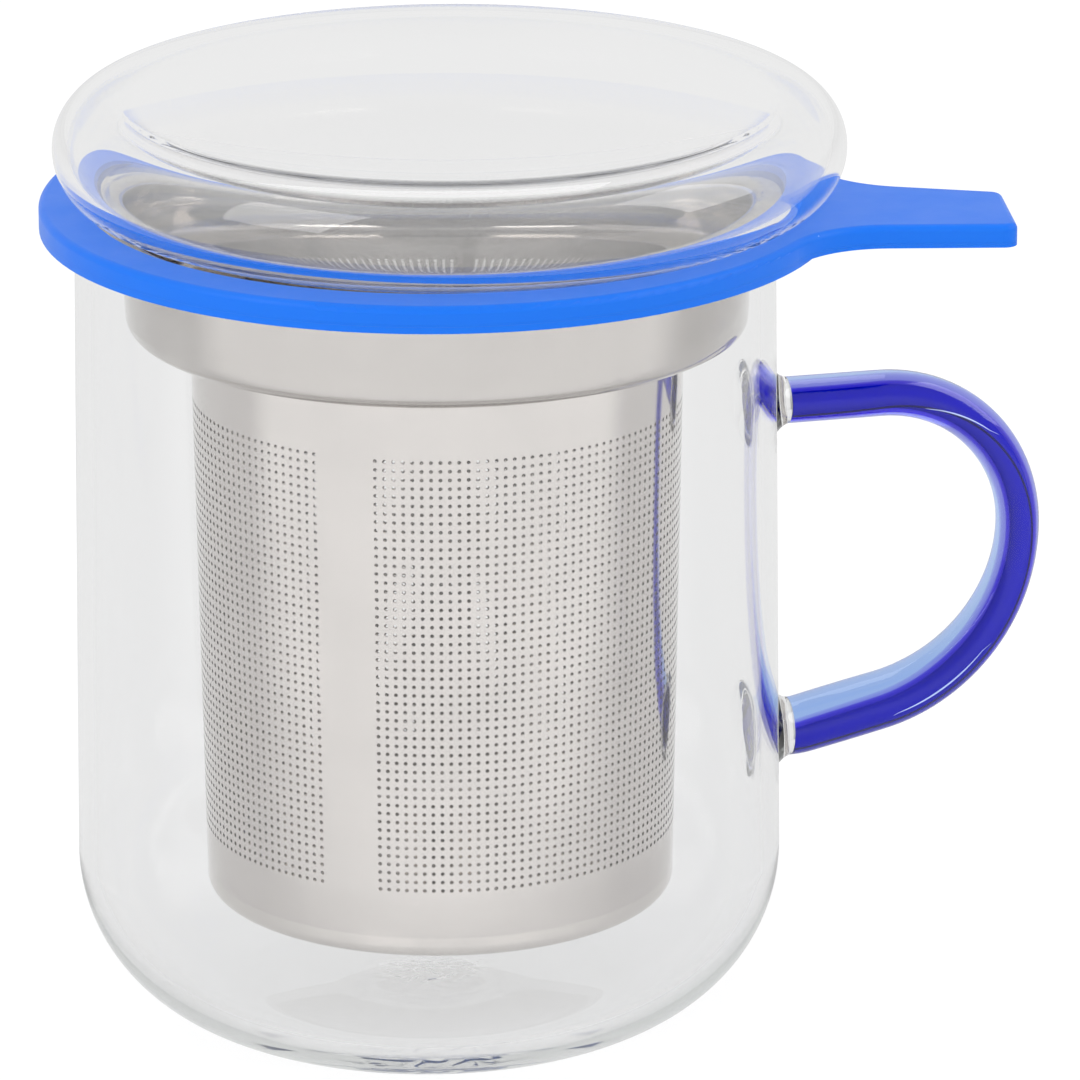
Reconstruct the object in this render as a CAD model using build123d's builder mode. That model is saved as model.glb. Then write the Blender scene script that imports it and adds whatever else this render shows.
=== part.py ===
"""Lidded tea mug with a lift-out infuser.

A blown glass cup carries a coloured glass handle on two clear weld beads.  A
steel infuser hangs in the cup from a silicone ring with a pull tab.  A hollow
glass lid lies loose on that ring.

Millimetres, +Z up.  The origin is the centre of the cup's flat foot and the
handle points along +X.
"""

import math
import os

from build123d import *

os.makedirs("parts", exist_ok=True)

# ---------------------------------------------------------------- glass cup
mug_height = 96.7              # foot to the fire-polished rim
mug_rim_radius = 41.0          # outside, at the rim
mug_belly_radius = 42.0        # outside, where the bottom curve begins
mug_wall = 2.0
mug_base_thickness = 3.0
mug_rim_share = 0.48           # rim round as a share of the wall: all but a full round
mug_bottom_curve = 20.0        # outside radius of the round between wall and foot
mug_crown_height = 0.8         # a low swell of glass left inside the floor
mug_crown_radius = 12.0
mug_crown_share = 0.7          # of that height left half way out

# ------------------------------------------------------------------- handle
handle_top_height = 71.7       # centre line of the level upper arm
handle_reach = 31.3            # from the cup's belly to the rod's outermost centre line
handle_upper_bend = 17.6       # radius of the tighter bend at the top
handle_lower_bend = 22.1       # radius of the wider bend below it
handle_lower_tilt = 11.3       # degrees, the lower arm falls towards the cup
handle_root_bend = 9.0         # radius of the last bend, which meets the cup square
rod_top_diameter = 5.6
rod_side_diameter = 5.0
rod_low_diameter = 7.1
rod_root_diameter = 7.0

# --------------------------------------------------------------- weld beads
bead_length = 2.7              # cup wall to the end of the coloured rod
bead_spread = 2.6              # how far a bead flares past the rod's own radius
bead_waist = 0.28              # share of the spread left half way along

# --------------------------------------------------- infuser, pressed sheet
collar_sheet = 0.5
filter_sheet = 0.4
collar_clearance = 1.8         # round the collar in the mouth of the cup
collar_taper = 0.8             # the collar's wall is drawn in this much
collar_depth = 13.4            # underside of the flange to the collar's floor
collar_corner = 2.4
flange_width = 7.0
flange_bend = 1.6
neck_inset = 7.4               # from the collar's wall in to the filter's neck
filter_taper = 1.1
filter_length = 69.4           # collar's floor to the underside of the base
base_rim_height = 2.6          # the base's upstand, welded to the tube's end
base_corner = 1.5
base_land = 4.0                # flat land round the raised centre
base_rise = 1.0
base_step_round = 0.6

# ------------------------------------------------------------ silicone ring
ring_overhang = 5.4            # past the rim of the cup
ring_thickness = 3.1
ring_lip = 0.2                 # from the flange's bend to the silicone below it
bare_flange = 3.8              # steel left bare between the mouth and the silicone above it
ring_top_round = 0.8
tab_reach = 21.8               # past the ring's edge, at the tab's longer corner
tab_end_skew = 2.5             # the other corner is this much shorter
tab_tip_width = 14.6
tab_root_width = 19.4
tab_thickness = 2.7
tab_flare_round = 12.0
tab_corner_round = 1.6
tab_turn = -19.0               # degrees from the handle, about +Z

# ---------------------------------------------------------------- glass lid
lid_radius = 46.3
lid_height = 12.6
lid_wall = 1.9
lid_dish_slope = 17.0          # degrees, where the round rim runs into the dish

# --------------------------------------------- clearances and resting places
rim_gap = 0.3                  # ring over the round rim of the cup
loose_direction = -13.0        # degrees from the handle: the loose pieces lie this way
infuser_offset = 1.3           # and this far off the cup's axis
lid_offset = 2.9

# ------------------------------------------------------------ derived sizes
collar_top_radius = mug_rim_radius - mug_wall - collar_clearance
collar_bottom_radius = collar_top_radius - collar_taper
filter_top_radius = collar_bottom_radius - neck_inset
filter_bottom_radius = filter_top_radius - filter_taper
ring_radius = mug_rim_radius + ring_overhang
ring_bottom = mug_height + rim_gap
ring_top = ring_bottom + ring_thickness
flange_bottom = ring_bottom + (ring_thickness - collar_sheet) / 2
flange_top = flange_bottom + collar_sheet
flange_radius = collar_top_radius + flange_width
ring_seat_radius = collar_top_radius + flange_bend + ring_lip
collar_floor = flange_bottom - collar_depth
filter_bottom = collar_floor - filter_length
base_seam = filter_bottom + base_rim_height
handle_side = mug_belly_radius + handle_reach
lean_x = math.cos(math.radians(loose_direction))
lean_y = math.sin(math.radians(loose_direction))
infuser_centre = (infuser_offset * lean_x, infuser_offset * lean_y, 0)
lid_centre = (lid_offset * lean_x, lid_offset * lean_y, ring_top)
infuser_axis = Axis(infuser_centre, (0, 0, 1))
lid_axis = Axis(lid_centre, (0, 0, 1))
infuser_section = Plane(origin=infuser_centre, x_dir=(1, 0, 0), z_dir=(0, -1, 0))
lid_section = Plane(origin=lid_centre, x_dir=(1, 0, 0), z_dir=(0, -1, 0))


def wall_radius(height):
    """Outside radius of the cup's straight wall at this height."""
    share = (height - mug_bottom_curve) / (mug_height - mug_bottom_curve)
    return mug_belly_radius + (mug_rim_radius - mug_belly_radius) * share


# ------------------------------------------------------------ the glass cup
# The outer form is kept apart, because the weld beads are cut to it as well.
with BuildPart() as mug_form:
    with BuildSketch(Plane.XZ):
        with BuildLine():
            foot = Line((0, 0), (mug_belly_radius - mug_bottom_curve, 0))
            round_end = (mug_belly_radius, mug_bottom_curve)
            JernArc(foot @ 1, (1, 0), mug_bottom_curve, 90)
            wall = Line(round_end, (mug_rim_radius, mug_height))
            Line(wall @ 1, (0, mug_height))
            Line((0, mug_height), (0, 0))
        make_face()
    revolve(axis=Axis.Z)

# Inside, the floor swells a little at the centre and turns up in its own round.
floor_round = mug_bottom_curve - mug_base_thickness
floor_edge = mug_belly_radius - mug_wall - floor_round
crown_top = mug_base_thickness + mug_crown_height
crown_flank = mug_base_thickness + mug_crown_share * mug_crown_height
with BuildPart() as mug_body:
    add(mug_form.part)
    with BuildSketch(Plane.XZ):
        with BuildLine():
            flank = (mug_crown_radius / 2, crown_flank)
            crown = ThreePointArc((0, crown_top), flank, (mug_crown_radius, mug_base_thickness))
            floor = Line(crown @ 1, (floor_edge, mug_base_thickness))
            turn = JernArc(floor @ 1, (1, 0), floor_round, 90)
            inside = Line(turn @ 1, (mug_rim_radius - mug_wall, mug_height))
            Line(inside @ 1, (0, mug_height))
            Line((0, mug_height), (0, crown_top))
        make_face()
    revolve(axis=Axis.Z, mode=Mode.SUBTRACT)
    rim = mug_body.edges().group_by(Axis.Z)[-1]
    fillet(rim, mug_rim_share * mug_wall)
mug_body.part.label = "mug_body"
export_step(mug_body.part, "parts/mug_body.step")


# ---------------------------------------------------------- handle: layout
# The rod leaves the upper root level, turns down, and comes back at a tilt.
tilt = math.radians(handle_lower_tilt)
bend_height = handle_top_height - handle_upper_bend
bend_start = (handle_side - handle_upper_bend, handle_top_height)
outermost = (handle_side, bend_height)
bend_end = (
    handle_side - handle_lower_bend + handle_lower_bend * math.sin(tilt),
    bend_height - handle_lower_bend * math.cos(tilt),
)
upper_root = (wall_radius(handle_top_height) + bead_length, handle_top_height)
arm_fall = (bend_end[0] - mug_belly_radius) * math.tan(tilt)
root_x = wall_radius(bend_end[1] - arm_fall) + bead_length
arm_end_x = root_x + handle_root_bend * math.sin(tilt)
arm_end = (arm_end_x, bend_end[1] - (bend_end[0] - arm_end_x) * math.tan(tilt))
lower_root = (root_x, arm_end[1] - handle_root_bend * (1 - math.cos(tilt)))


# --------------------------------------------------------------- weld beads
def weld_bead(root, rod_diameter):
    """A clear flare of glass from the cup's wall to the rod's end at root, (x, z)."""
    end, height = root
    surface = end - bead_length
    sunk = surface - mug_wall
    neck = height + rod_diameter / 2
    brim = neck + bead_spread
    with BuildPart() as bead:
        with BuildSketch(Plane.XZ):
            with BuildLine():
                waist = (surface + bead_length / 2, neck + bead_waist * bead_spread)
                ThreePointArc((end, neck), waist, (surface, brim))
                Polyline((surface, brim), (sunk, brim), (sunk, height), (end, height), (end, neck))
            make_face()
        revolve(axis=Axis((0, 0, height), (1, 0, 0)))
        add(mug_form.part, mode=Mode.SUBTRACT)
    return bead.part


upper_weld_bead = weld_bead(upper_root, rod_top_diameter)
upper_weld_bead.label = "upper_weld_bead"
export_step(upper_weld_bead, "parts/upper_weld_bead.step")

lower_weld_bead = weld_bead(lower_root, rod_root_diameter)
lower_weld_bead.label = "lower_weld_bead"
export_step(lower_weld_bead, "parts/lower_weld_bead.step")

# ------------------------------------------------------------------- handle
# One glass rod drawn round two bends.  It thickens towards its lower root.
with BuildPart() as handle:
    with BuildLine(Plane.XZ) as rod_line:
        upper_arm = Line(upper_root, bend_start)
        upper_bend = JernArc(bend_start, (1, 0), handle_upper_bend, -90)
        lower_bend = JernArc(outermost, (0, -1), handle_lower_bend, handle_lower_tilt - 90)
        Line(bend_end, arm_end)
        arm_direction = (-math.cos(tilt), -math.sin(tilt))
        root_bend = JernArc(arm_end, arm_direction, handle_root_bend, -handle_lower_tilt)
    stations = [
        (upper_arm @ 0, upper_arm % 0, rod_top_diameter),
        (upper_arm @ 1, upper_arm % 1, rod_top_diameter),
        (upper_bend @ 1, upper_bend % 1, rod_side_diameter),
        (lower_bend @ 1, lower_bend % 1, rod_low_diameter),
        (root_bend @ 1, root_bend % 1, rod_root_diameter),
    ]
    for place, direction, diameter in stations:
        with BuildSketch(Plane(origin=place, z_dir=direction)):
            Circle(diameter / 2)
    sweep(path=rod_line.wires()[0], multisection=True)
handle.part.label = "handle"
export_step(handle.part, "parts/handle.step")

# ---------------------------------------------------------- infuser: collar
# Pressed sheet: a flange, a wall drawn in a little, and a floor with a neck hole.
with BuildPart() as infuser_collar:
    with BuildSketch(infuser_section):
        with BuildLine():
            under = FilletPolyline(
                (flange_radius, flange_bottom),
                (collar_top_radius, flange_bottom),
                (collar_bottom_radius, collar_floor),
                (filter_top_radius, collar_floor),
                radius=[flange_bend, collar_corner],
            )
            over = FilletPolyline(
                (flange_radius, flange_top),
                (collar_top_radius - collar_sheet, flange_top),
                (collar_bottom_radius - collar_sheet, collar_floor + collar_sheet),
                (filter_top_radius, collar_floor + collar_sheet),
                radius=[flange_bend + collar_sheet, collar_corner - collar_sheet],
            )
            Line(under @ 0, over @ 0)
            Line(under @ 1, over @ 1)
        make_face()
    revolve(axis=infuser_axis)
infuser_collar.part.label = "infuser_collar"
export_step(infuser_collar.part, "parts/infuser_collar.step")

# ------------------------------------------------- infuser: perforated tube
# A rolled and welded sheet, slightly conical, welded into the collar's neck.
with BuildPart() as filter_tube:
    with BuildSketch(infuser_section):
        with BuildLine():
            Polyline(
                (filter_top_radius, collar_floor + collar_sheet),
                (filter_top_radius, collar_floor),
                (filter_bottom_radius, base_seam),
                (filter_bottom_radius - filter_sheet, base_seam),
                (filter_top_radius - filter_sheet, collar_floor),
                (filter_top_radius - filter_sheet, collar_floor + collar_sheet),
                close=True,
            )
        make_face()
    revolve(axis=infuser_axis)
filter_tube.part.label = "filter_tube"
export_step(filter_tube.part, "parts/filter_tube.step")

# ----------------------------------------------------------- infuser: base
rise_radius = filter_bottom_radius - base_corner - base_land
with BuildPart() as filter_base:
    with BuildSketch(infuser_section):
        with BuildLine():
            outside = FilletPolyline(
                (filter_bottom_radius, base_seam),
                (filter_bottom_radius, filter_bottom),
                (rise_radius + base_rise, filter_bottom),
                (rise_radius, filter_bottom + base_rise),
                (0, filter_bottom + base_rise),
                radius=[base_corner, base_step_round, base_step_round],
            )
            inside = FilletPolyline(
                (filter_bottom_radius - filter_sheet, base_seam),
                (filter_bottom_radius - filter_sheet, filter_bottom + filter_sheet),
                (rise_radius + base_rise, filter_bottom + filter_sheet),
                (rise_radius, filter_bottom + base_rise + filter_sheet),
                (0, filter_bottom + base_rise + filter_sheet),
                radius=[base_corner - filter_sheet, base_step_round, base_step_round],
            )
            Line(outside @ 0, inside @ 0)
            Line(outside @ 1, inside @ 1)
        make_face()
    revolve(axis=infuser_axis)
filter_base.part.label = "filter_base"
export_step(filter_base.part, "parts/filter_base.step")

# ------------------------------------------------------------ silicone ring
# Moulded over the steel flange, with a pull tab that flares out of its edge.
tab_x = math.cos(math.radians(tab_turn))
tab_y = math.sin(math.radians(tab_turn))
ring_plane = Plane(origin=infuser_centre, x_dir=(tab_x, tab_y, 0), z_dir=(0, 0, 1))
tab_tip = ring_radius + tab_reach
tab_heel_width = tab_tip_width + (tab_root_width - tab_tip_width) * tab_tip / tab_reach
with BuildPart() as silicone_ring:
    with BuildSketch(ring_plane.offset(ring_bottom)):
        Circle(ring_radius)
    extrude(amount=ring_thickness)
    with BuildSketch(ring_plane.offset(ring_top - tab_thickness)) as tab_plan:
        Circle(ring_radius)
        with BuildLine():
            Polyline(
                (0, -tab_heel_width / 2),
                (tab_tip, -tab_tip_width / 2),
                (tab_tip - tab_end_skew, tab_tip_width / 2),
                (0, tab_heel_width / 2),
                close=True,
            )
        make_face()
        end_corners = tab_plan.vertices().sort_by_distance(ring_plane.origin)[-2:]
        fillet(end_corners, tab_corner_round)
        flare_corners = tab_plan.vertices().sort_by_distance(ring_plane.origin)[:2]
        fillet(flare_corners, tab_flare_round)
    extrude(amount=tab_thickness)
    with BuildSketch(ring_plane.offset(ring_bottom)):
        Circle(ring_seat_radius)
    extrude(amount=ring_thickness, mode=Mode.SUBTRACT)
    with BuildSketch(ring_plane.offset(flange_top)):
        Circle(collar_top_radius + bare_flange)
    extrude(amount=ring_top - flange_top, mode=Mode.SUBTRACT)
    top_face = silicone_ring.faces().filter_by(Axis.Z).sort_by(Axis.Z)[-1]
    fillet(top_face.outer_wire().edges(), ring_top_round)
    add(infuser_collar.part, mode=Mode.SUBTRACT)
silicone_ring.part.label = "silicone_ring"
export_step(silicone_ring.part, "parts/silicone_ring.step")

# ---------------------------------------------------------------- glass lid
# One closed hollow blow: a flat underside, a round rim and a dished top.
slope = math.radians(lid_dish_slope)
rim_round = lid_height / 2
rim_centre = lid_radius - rim_round
dish_round = (rim_centre - rim_round * math.sin(slope)) / math.sin(slope)
dish_drop = dish_round * (1 - math.cos(slope))


def lid_outline(inset):
    """The lid's half section, moved in by this much glass all the way round."""
    rim = rim_round - inset
    under = Line((0, inset), (rim_centre, inset))
    edge = JernArc(under @ 1, (1, 0), rim, 180 + lid_dish_slope)
    hub = (0, rim_round + rim_round * math.cos(slope) - dish_drop - inset)
    dish = RadiusArc(edge @ 1, hub, dish_round + inset)
    Line(dish @ 1, under @ 0)


with BuildPart() as glass_lid:
    with BuildSketch(lid_section):
        with BuildLine():
            lid_outline(0)
        make_face()
        with BuildLine():
            lid_outline(lid_wall)
        make_face(mode=Mode.SUBTRACT)
    revolve(axis=lid_axis)
glass_lid.part.label = "glass_lid"
export_step(glass_lid.part, "parts/glass_lid.step")
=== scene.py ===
# %% [markdown]
# # A lidded glass tea mug with a lift-out infuser
#
# The mug is blown from clear glass. A cobalt rod makes its handle, and a clear
# bead of glass welds each end of the rod to the cup. A steel infuser hangs in
# the cup from a blue silicone ring, and a hollow glass lid lies on that ring.
#
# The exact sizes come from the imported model, which is loaded first. Nothing of
# it is moved. Pieces that need a finer skin are worked out here with numpy and
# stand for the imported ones. The others only get a better finish.

import math

import bpy
import numpy as np
from mathutils import Matrix, Vector


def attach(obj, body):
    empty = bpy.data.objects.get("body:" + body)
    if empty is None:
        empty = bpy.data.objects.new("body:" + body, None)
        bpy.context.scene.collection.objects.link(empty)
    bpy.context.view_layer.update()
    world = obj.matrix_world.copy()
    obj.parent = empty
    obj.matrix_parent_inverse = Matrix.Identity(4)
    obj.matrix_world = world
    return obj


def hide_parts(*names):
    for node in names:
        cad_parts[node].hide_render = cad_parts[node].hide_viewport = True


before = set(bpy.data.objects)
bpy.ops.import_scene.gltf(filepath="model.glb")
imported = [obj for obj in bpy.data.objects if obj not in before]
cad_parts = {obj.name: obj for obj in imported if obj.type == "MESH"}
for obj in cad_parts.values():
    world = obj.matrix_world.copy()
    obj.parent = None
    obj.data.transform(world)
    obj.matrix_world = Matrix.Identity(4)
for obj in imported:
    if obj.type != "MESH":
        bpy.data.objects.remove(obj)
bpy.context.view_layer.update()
print("packed pieces:", ", ".join(sorted(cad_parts)))

# %% [markdown]
# ## From arrays to meshes
#
# Every new shape is a table of points, rows by columns. Neighbouring rows are
# joined by four-sided faces, and a row that shrinks to a point is closed by a
# fan. Sizes are written in millimetres, as on a workshop drawing, and turned
# into metres once, here.

# %% One mesh from whole arrays
MM = 0.001
CRISP = math.radians(50)  # an edge that turns more than this stays sharp in smooth shading
GUARD = 0.25  # mm from a joint to the row that keeps a straight face's shading straight
LOOSE = math.radians(-13)  # from the handle, the way that the loose pieces have slid
INFUSER = (1.3 * math.cos(LOOSE), 1.3 * math.sin(LOOSE))  # the infuser's axis
LID = (2.9 * math.cos(LOOSE), 2.9 * math.sin(LOOSE))  # the lid's axis


def make_object(name, points, quads, triangles=()):
    """A smooth-shaded object from points in millimetres and faces as corner numbers."""
    quads = np.asarray(quads, int).reshape(-1, 4)
    triangles = np.asarray(triangles, int).reshape(-1, 3)
    corners = np.concatenate([quads.ravel(), triangles.ravel()])
    sizes = np.concatenate([np.full(len(quads), 4), np.full(len(triangles), 3)])
    mesh = bpy.data.meshes.new(name)
    mesh.vertices.add(len(points))
    mesh.vertices.foreach_set("co", (np.asarray(points, float) * MM).ravel())
    mesh.loops.add(len(corners))
    mesh.loops.foreach_set("vertex_index", corners)
    mesh.polygons.add(len(sizes))
    mesh.polygons.foreach_set("loop_start", np.cumsum(sizes) - sizes)
    mesh.update(calc_edges=True)
    mesh.polygons.foreach_set("use_smooth", np.ones(len(sizes), bool))
    made = bpy.data.objects.new(name, mesh)
    bpy.context.scene.collection.objects.link(made)
    print(f"{name}: {len(points)} points, {len(sizes)} faces")
    return made


def quads_between(rows, columns, first=0, wrap=True):
    """Corner numbers of the face from (i, j) to (i + 1, j + 1), for a table stored row by row."""
    i = np.arange(rows - 1)[:, None]
    j = np.arange(columns if wrap else columns - 1)[None, :]
    k = (j + 1) % columns
    corners = (i * columns + j, i * columns + k, (i + 1) * columns + k, (i + 1) * columns + j)
    return first + np.stack(np.broadcast_arrays(*corners), axis=-1)


def turned(profile, columns, centre=(0.0, 0.0)):
    """The (radius, height) pairs turned about an upright axis: x = r cos a, y = r sin a."""
    angle = np.linspace(0, 2 * np.pi, columns, endpoint=False)
    radius, height = np.asarray(profile, float).T[:, :, None]
    x = centre[0] + radius * np.cos(angle)
    y = centre[1] + radius * np.sin(angle)
    return np.stack(np.broadcast_arrays(x, y, height), axis=-1)


def arc(centre, radius, start, end, count):
    """(radius, height) pairs on a circle, from one angle to another in degrees."""
    angle = np.radians(np.linspace(start, end, count))
    return np.stack([centre[0] + radius * np.cos(angle), centre[1] + radius * np.sin(angle)], -1)


def turned_solid(name, shells, columns, centre=(0.0, 0.0)):
    """Closed shells of revolution, each a profile from pole to pole, in one mesh."""
    points, quads, fans, first = [], [], [], 0
    for profile in shells:
        rings = turned(profile[1:-1], columns, centre)
        rows = len(rings)
        poles = [(*centre, profile[0][1]), (*centre, profile[-1][1])]
        points += [rings.reshape(-1, 3), poles]
        quads.append(quads_between(rows, columns, first).reshape(-1, 4))
        j = np.arange(columns)
        k = (j + 1) % columns
        low, high = first + rows * columns, first + rows * columns + 1
        top = first + (rows - 1) * columns
        fans.append(np.stack([np.full(columns, low), first + k, first + j], -1))
        fans.append(np.stack([np.full(columns, high), top + j, top + k], -1))
        first += rows * columns + 2
    return make_object(name, np.concatenate(points), np.concatenate(quads), np.concatenate(fans))


# %% [markdown]
# ## Finishes
#
# A finish is one Principled shader with a little life in it: noise that moves
# the roughness, and a bump at the scale of the real grain. Patterns read Object
# coordinates, which are metres here, so a scale of 1000 is one feature to the
# millimetre.

# %% Small node helpers


def new_material(name):
    """A new material, its node tree, its Principled shader and its output node."""
    material = bpy.data.materials.new(name)
    material.use_nodes = True
    tree = material.node_tree
    shader = tree.nodes["Principled BSDF"]
    output = tree.nodes["Material Output"]
    return material, tree, shader, output


def add_node(tree, kind, inputs=None, **settings):
    """A node with its settings and input values, or the sockets that feed them."""
    node = tree.nodes.new(kind)
    for key, value in settings.items():
        setattr(node, key, value)
    for key, value in (inputs or {}).items():
        if isinstance(value, bpy.types.NodeSocket):
            tree.links.new(value, node.inputs[key])
        else:
            node.inputs[key].default_value = value
    return node


def maths(tree, kind, *values, clamp=False):
    """The result of one maths node. Its values are numbers or sockets, in order."""
    inputs = dict(enumerate(values))
    node = add_node(tree, "ShaderNodeMath", inputs, operation=kind, use_clamp=clamp)
    return node.outputs[0]


def vector_maths(tree, kind, *values):
    """The result of one vector maths node: a number for a length or dot product, else a vector."""
    node = add_node(tree, "ShaderNodeVectorMath", dict(enumerate(values)), operation=kind)
    return node.outputs["Value" if kind in ("LENGTH", "DOT_PRODUCT") else "Vector"]


def place(tree, stretch=(1, 1, 1)):
    """Object coordinates, squeezed along the axes where a pattern runs in lines."""
    where = add_node(tree, "ShaderNodeTexCoord").outputs["Object"]
    mapped = add_node(tree, "ShaderNodeMapping", {"Vector": where, "Scale": stretch})
    return mapped.outputs["Vector"]


def noise(tree, vector, scale, detail=2.0, roughness=0.5):
    """Noise at this many features a metre."""
    inputs = {"Vector": vector, "Scale": scale, "Detail": detail, "Roughness": roughness}
    return add_node(tree, "ShaderNodeTexNoise", inputs).outputs["Fac"]


def spread(tree, value, low, high, start=0.3, end=0.7):
    """Brings a value between start and end to the range from low to high, and keeps it there."""
    inputs = {"Value": value, "From Min": start, "From Max": end, "To Min": low, "To Max": high}
    return add_node(tree, "ShaderNodeMapRange", inputs).outputs["Result"]


def blend(tree, factor, first, second):
    """One colour where factor is 0 and another where it is 1. Either may be a socket."""
    node = add_node(tree, "ShaderNodeMix", {0: factor, 6: first, 7: second}, data_type="RGBA")
    return node.outputs[2]


def bump(tree, height, distance, strength=1.0, below=None):
    """A bump as deep as distance, in metres, on top of another one."""
    inputs = {"Height": height, "Distance": distance, "Strength": strength}
    if below is not None:
        inputs["Normal"] = below
    return add_node(tree, "ShaderNodeBump", inputs).outputs["Normal"]


def pass_light(tree, shader, output, tint):
    """Lets lamp light and soft bounced light straight through, so that glass casts a pale shadow."""
    path = add_node(tree, "ShaderNodeLightPath").outputs
    either = maths(tree, "MAXIMUM", path["Is Shadow Ray"], path["Is Diffuse Ray"])
    open_air = add_node(tree, "ShaderNodeBsdfTransparent", {"Color": tint})
    mix = add_node(tree, "ShaderNodeMixShader", {"Fac": either})
    tree.links.new(shader.outputs[0], mix.inputs[1])
    tree.links.new(open_air.outputs[0], mix.inputs[2])
    tree.links.new(mix.outputs[0], output.inputs["Surface"])


def absorb(material, keeps, density):
    """Lets glass swallow density x (1 - keeps) of each colour per metre of the way through it."""
    tree = material.node_tree
    depth = add_node(tree, "ShaderNodeVolumeAbsorption", {"Color": keeps, "Density": density})
    tree.links.new(depth.outputs[0], tree.nodes["Material Output"].inputs["Volume"])


# %% [markdown]
# Clear glass has almost no colour of its own. What makes it look blown and not
# machined is a very faint waviness in its skin, a few hundredths of a degree.
#
# Light that runs a long way inside the cup's wall, down from the blue ring to
# the foot, loses a little of every colour on the way. So the cup also absorbs,
# too weakly to show where one looks straight through the wall.

# %% Clear glass
GLASS_IOR = 1.47


def clear_glass(name, tint, waves):
    """Colourless borosilicate glass with long, shallow waves in its surface."""
    material, tree, shader, output = new_material(name)
    shader.inputs["Base Color"].default_value = tint
    shader.inputs["Transmission Weight"].default_value = 1.0
    shader.inputs["Roughness"].default_value = 0.0
    shader.inputs["IOR"].default_value = GLASS_IOR
    wavy = noise(tree, place(tree), 55.0, detail=1.0)
    normal = bump(tree, wavy, waves)
    tree.links.new(normal, shader.inputs["Normal"])
    pass_light(tree, shader, output, (0.96, 0.965, 0.97, 1))
    return material


cup_glass = clear_glass("cup glass", (0.993, 0.993, 0.994, 1), 0.000003)
absorb(cup_glass, (0.1, 0.16, 0.13, 1), 5.0)
print("cup glass: refractive index", GLASS_IOR)

# %% [markdown]
# The lid's dish is seen at a slant, and the two shells of glass with air
# between them then throw most of the room back, as a stack of panes does. It is
# clear from above, and a mirror from the side. Only its outer skin is one: from
# within the glass it would trap the light and draw dark lines along the crest.

# %% The lid's glass
MIRROR_SHARE = 0.93  # of the light at a full slant
MIRROR_FROM, MIRROR_FULL = 0.34, 0.53  # Layer Weight's Facing, which grows with the slant


def mirror_dish(material):
    """Turns the skin to a mirror where the dish attribute is 1, as far as it is seen at a slant."""
    tree = material.node_tree
    dish = add_node(tree, "ShaderNodeAttribute", attribute_name="dish").outputs["Fac"]
    slant = add_node(tree, "ShaderNodeLayerWeight", {"Blend": 0.5}).outputs["Facing"]
    sheen = spread(tree, slant, 0.0, MIRROR_SHARE, MIRROR_FROM, MIRROR_FULL)
    within = add_node(tree, "ShaderNodeNewGeometry").outputs["Backfacing"]
    mirror = maths(tree, "MULTIPLY", dish, sheen)
    outside = maths(tree, "SUBTRACT", mirror, within, clamp=True)
    tree.links.new(outside, tree.nodes["Principled BSDF"].inputs["Metallic"])


lid_glass = clear_glass("lid glass", (0.992, 0.993, 0.993, 1), 0.000006)
mirror_dish(lid_glass)
print("lid glass: mirrors up to", MIRROR_SHARE)

# %% [markdown]
# Where a weld bead meets the rod, glass is fused to glass. The bead's end face
# is there to close the skin, and light must not notice it.

# %% The fused seam
seam_glass, tree, shader, output = new_material("fused seam")
tree.nodes.remove(shader)
unseen = add_node(tree, "ShaderNodeBsdfTransparent")
tree.links.new(unseen.outputs[0], output.inputs["Surface"])
print("fused seam: clear to all light")

# %% [markdown]
# The handle is drawn from a cased rod: a core of deep cobalt in a mantle of
# softer blue, in a sleeve of pale blue glass. Only the sleeve's skin bends
# light. The glasses inside are fused to it, with nothing to bend light between
# them, so they have a refractive index of 1 and only take colour out of the
# light. How much they take grows with the way through them, so each one fades
# towards its own edge. The heart of the core is too deep to see through. A thin
# dark bar along the rod is a painted dark reflection.

# %% Cobalt glass


def blue_glass(name, ior, keeps, density, tint):
    """Glass with colour in its depth, and a skin that bends light unless its ior is 1."""
    material, tree, shader, output = new_material(name)
    shader.inputs["Base Color"].default_value = (1, 1, 1, 1)
    shader.inputs["Transmission Weight"].default_value = 1.0
    shader.inputs["Roughness"].default_value = 0.0
    shader.inputs["IOR"].default_value = ior
    absorb(material, keeps, density)
    pass_light(tree, shader, output, tint)
    return material


def deep_glass(name, colour):
    """Opaque glass: a flat colour with no gloss of its own, also for a painted dark line and painted
    glints.
    """
    material, tree, shader, output = new_material(name)
    shader.inputs["Roughness"].default_value = 0.6
    shader.inputs["IOR"].default_value = 1.0
    streaks = noise(tree, place(tree), 90.0, detail=1.0)
    darker = (0.9 * colour[0], 0.9 * colour[1], 0.94 * colour[2], 1)
    mixed = blend(tree, spread(tree, streaks, 0.0, 1.0), colour, darker)
    tree.links.new(mixed, shader.inputs["Base Color"])
    return material


sleeve_glass = blue_glass("pale blue sleeve", GLASS_IOR, (0.0, 0.42, 1.0, 1), 140.0, (0.8, 0.84, 1, 1))
mantle_glass = blue_glass("blue mantle", 1.0, (0.25, 0.0, 0.80, 1), 355.0, (0.9, 0.9, 1, 1))
core_glass = blue_glass("cobalt core", 1.0, (0.2, 0.0, 0.90, 1), 1373.0, (0.7, 0.7, 0.95, 1))
heart_glass = deep_glass("cobalt heart", (0.030, 0.021, 0.53, 1))
painted_dark_line_glass = deep_glass("painted dark line", (0.006, 0.004, 0.09, 1))
bubble_glint_glass = deep_glass("painted bubble glint", (0.80, 0.81, 0.92, 1))
tree = sleeve_glass.node_tree
drawn = noise(tree, place(tree, (0.4, 1, 0.4)), 260.0, detail=2.0)
tree.links.new(bump(tree, drawn, 0.00002), tree.nodes["Principled BSDF"].inputs["Normal"])
print("cobalt glass: sleeve, mantle, core, heart and thread")
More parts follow.
